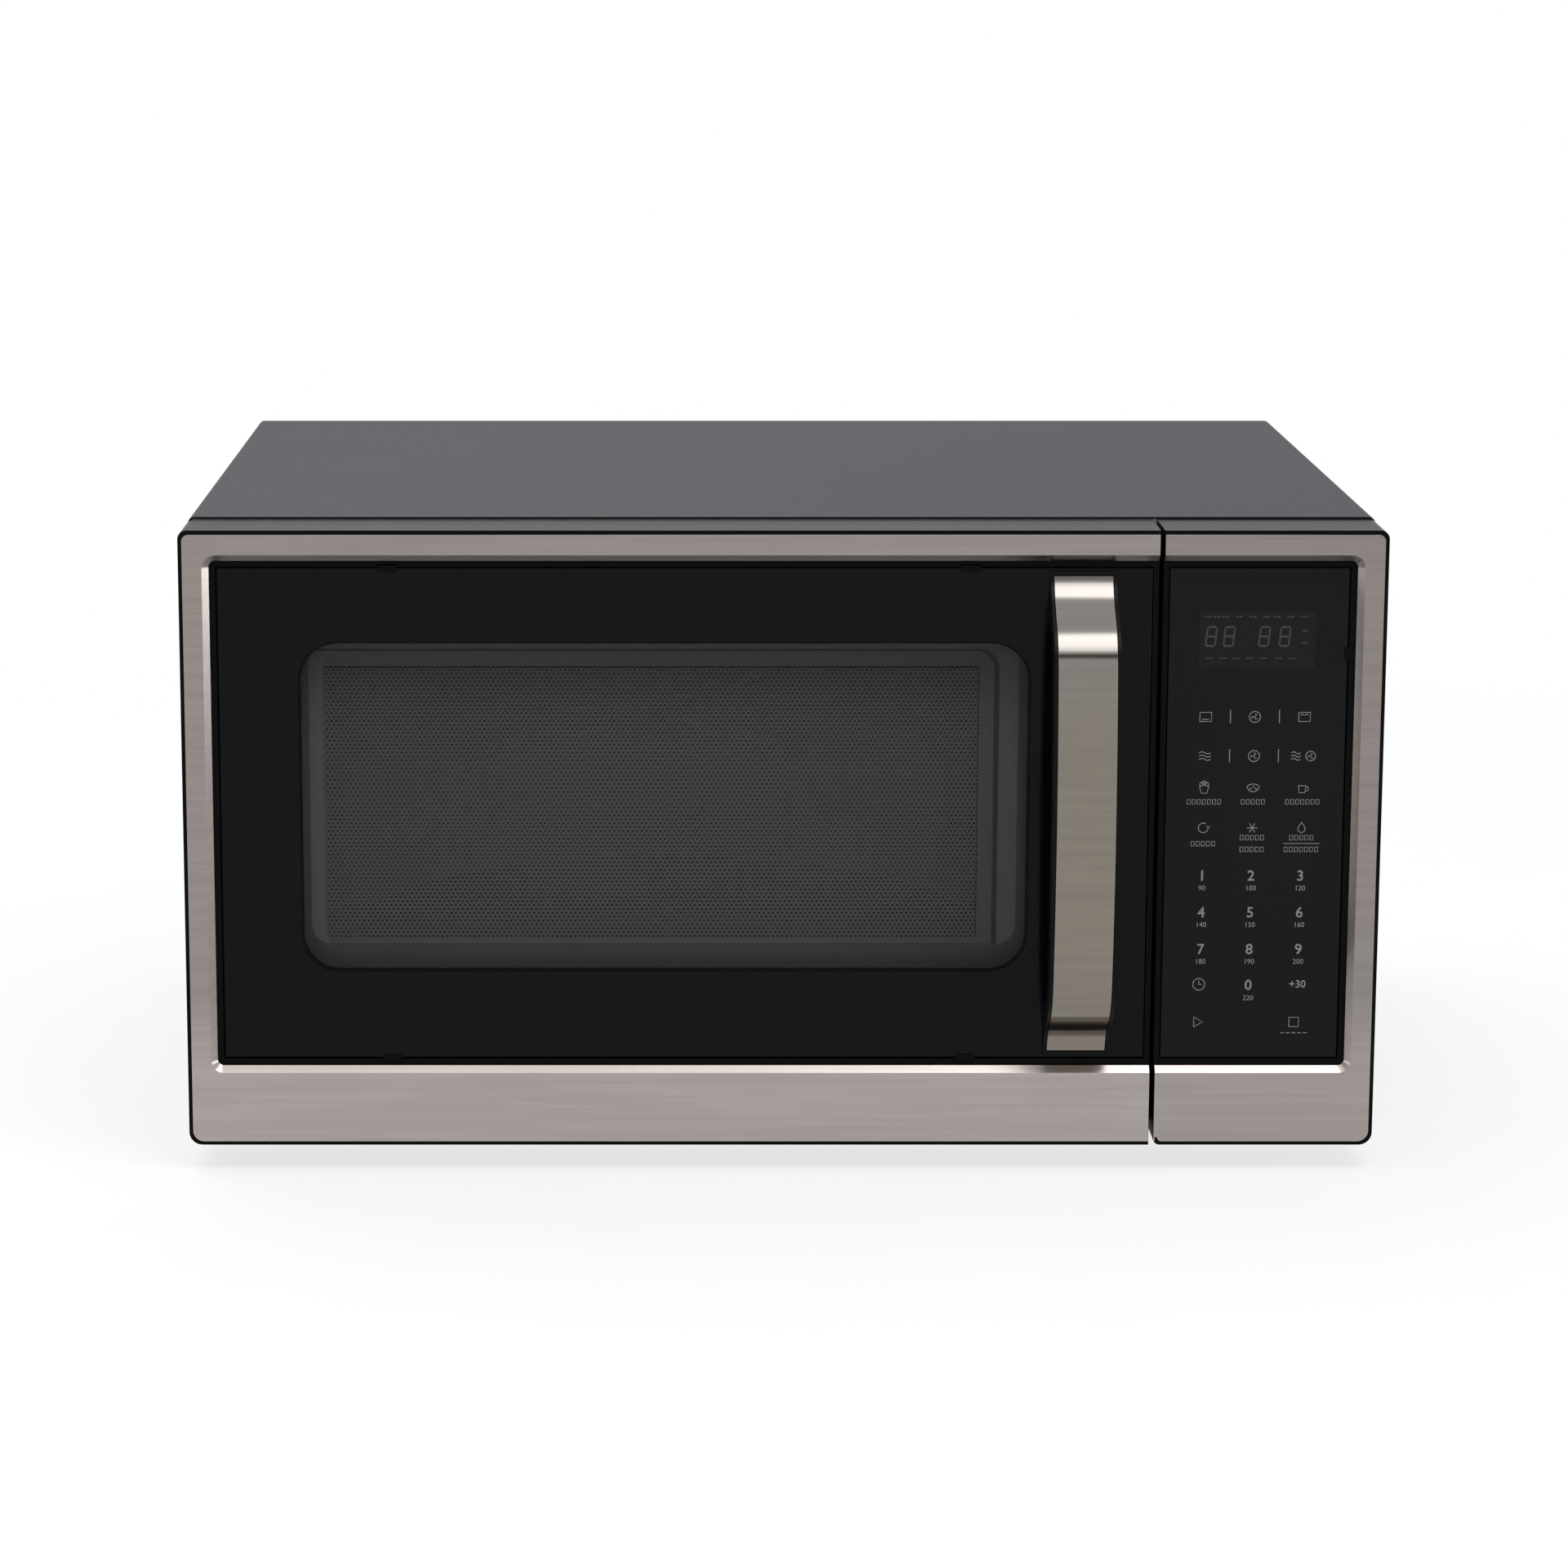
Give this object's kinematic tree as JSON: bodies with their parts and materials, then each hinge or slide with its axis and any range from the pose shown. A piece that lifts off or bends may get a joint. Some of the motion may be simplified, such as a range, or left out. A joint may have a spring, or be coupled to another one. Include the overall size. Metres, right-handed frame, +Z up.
{
  "type": "microwave oven",
  "caption": "Countertop microwave oven with hinged glass door, bow handle, sprung latch, touch panel, roller turntable, waveguide feed, cooling blower and rear convection fan with ring heater.",
  "frame": {"origin": "middle of the footprint, on the surface the feet stand on", "axes": "+X to the viewer's right as the door is faced (towards the control panel), +Y to the back, +Z up"},
  "size_m": [0.54, 0.4466, 0.296],
  "materials": {
    "case_paint": "charcoal powder coat, satin",
    "plated_sheet": "zinc-plated sheet, satin",
    "cavity_steel": "light grey enamel on steel",
    "steel_hardware": "bright plated",
    "brushed_trim": "lengthwise brushed stainless",
    "handle_steel": "crosswise brushed stainless",
    "bezel_plastic": "black, semi-gloss",
    "grip_plastic": "black, satin",
    "choke_plastic": "black, fine texture",
    "door_glass": "black-printed glass with a clear window",
    "clear_glass": "clear",
    "door_enamel": "dark grey enamel",
    "keypad_film": "black film with pale printed marks",
    "display_filter": "smoked window",
    "black_plastic": "moulded",
    "pale_plastic": "natural acetal",
    "mica": "mica sheet",
    "porcelain": "ceramic and heat-resistant moulding",
    "circuit_board": "coated board with parts",
    "magnetron_metal": "cooling fins and magnets",
    "laminated_steel": "lacquered laminations",
    "copper_winding": "enamelled wire under film",
    "heater_sheath": "oxidised sheath",
    "fan_alloy": "pressed sheet",
    "motor_steel": "plated cans",
    "foot_rubber": "black rubber"
  },
  "bodies": {
    "chassis": {"outer_cover": "case_paint", "base_plate": "plated_sheet", "back_plate": "plated_sheet", "front_plate": "plated_sheet", "cavity_wrap": "cavity_steel", "cavity_floor": "cavity_steel", "cavity_rear_wall": "cavity_steel", "fan_grille": "cavity_steel", "waveguide": "plated_sheet", "waveguide_cover": "mica", "magnetron_yoke": "plated_sheet", "magnetron_core": "magnetron_metal", "magnetron_filter_box": "plated_sheet", "transformer_core": "laminated_steel", "transformer_coils": "copper_winding", "hv_capacitor": "plated_sheet", "capacitor_clamp": "plated_sheet", "filter_board": "circuit_board", "fan_shroud": "pale_plastic", "cooling_fan_motor": "motor_steel", "lamp_socket": "porcelain", "lamp_bulb": "clear_glass", "convection_housing": "cavity_steel", "convection_heater": "heater_sheath", "convection_motor": "motor_steel", "turntable_motor": "motor_steel", "control_housing": "bezel_plastic", "control_trim": "brushed_trim", "touch_panel": "keypad_film", "display_lens": "display_filter", "display_module": "black_plastic", "control_board": "circuit_board", "interlock_bracket": "pale_plastic", "interlock_switches": "black_plastic", "hinge_brackets": "plated_sheet", "feet": "foot_rubber", "cord_gland": "black_plastic", "case_screws": "steel_hardware", "thermal_cutouts": "porcelain"},
    "door": {"hinge_bushes": "pale_plastic", "door_frame": "bezel_plastic", "door_trim": "brushed_trim", "door_glass": "door_glass", "door_panel": "door_enamel", "door_screen": "door_enamel", "choke_cover": "choke_plastic", "inner_glass": "clear_glass", "handle_grip": "grip_plastic", "handle_strap": "handle_steel", "handle_screws": "steel_hardware", "latch_spring": "steel_hardware"},
    "latch": {"latch_plate": "pale_plastic"},
    "turntable": {"turntable_coupler": "pale_plastic", "glass_turntable": "clear_glass"},
    "roller_ring": {"roller_ring": "pale_plastic"},
    "roller_1": {"roller_1": "pale_plastic"},
    "roller_2": {"roller_2": "pale_plastic"},
    "roller_3": {"roller_3": "pale_plastic"},
    "cooling_fan": {"cooling_fan": "black_plastic"},
    "convection_fan": {"convection_fan": "fan_alloy"}
  },
  "joints": [
    {"name": "door_hinge", "type": "hinge", "parent": "chassis", "child": "door", "pos_m": [-0.259, -0.16895, 0.15], "axis": [0, 0, -1], "range_deg": [0, 110]},
    {"name": "latch_slide", "type": "slide", "parent": "door", "child": "latch", "axis": [0, 0, 1], "range_m": [0, 0.004], "stiffness_N_per_m": 400, "springref_m": -0.01, "deforming": ["latch_spring"]},
    {"name": "turntable_spin", "type": "hinge", "parent": "chassis", "child": "turntable", "pos_m": [-0.052, 0.00605, 0.0626], "axis": [0, 0, 1], "continuous": true},
    {"name": "roller_ring_spin", "type": "hinge", "parent": "chassis", "child": "roller_ring", "pos_m": [-0.052, 0.00605, 0.0543], "axis": [0, 0, 1], "continuous": true},
    {"name": "roller_1_spin", "type": "hinge", "parent": "roller_ring", "child": "roller_1", "pos_m": [-0.052, 0.00605, 0.0543], "axis": [0, 1, 0], "continuous": true},
    {"name": "roller_2_spin", "type": "hinge", "parent": "roller_ring", "child": "roller_2", "pos_m": [-0.052, 0.00605, 0.0543], "axis": [-0.866, -0.5, 0], "continuous": true},
    {"name": "roller_3_spin", "type": "hinge", "parent": "roller_ring", "child": "roller_3", "pos_m": [-0.052, 0.00605, 0.0543], "axis": [0.866, -0.5, 0], "continuous": true},
    {"name": "cooling_fan_spin", "type": "hinge", "parent": "chassis", "child": "cooling_fan", "pos_m": [0.196, 0.16505, 0.152], "axis": [0, 1, 0], "continuous": true},
    {"name": "convection_fan_spin", "type": "hinge", "parent": "chassis", "child": "convection_fan", "pos_m": [-0.052, 0.16585, 0.151], "axis": [0, 1, 0], "continuous": true}
  ],
  "couplings": [
    {"joint": "roller_ring_spin", "follows": "turntable_spin", "ratio": 0.5},
    {"joint": "roller_1_spin", "follows": "turntable_spin", "ratio": -6.125},
    {"joint": "roller_2_spin", "follows": "turntable_spin", "ratio": -6.125},
    {"joint": "roller_3_spin", "follows": "turntable_spin", "ratio": -6.125}
  ]
}
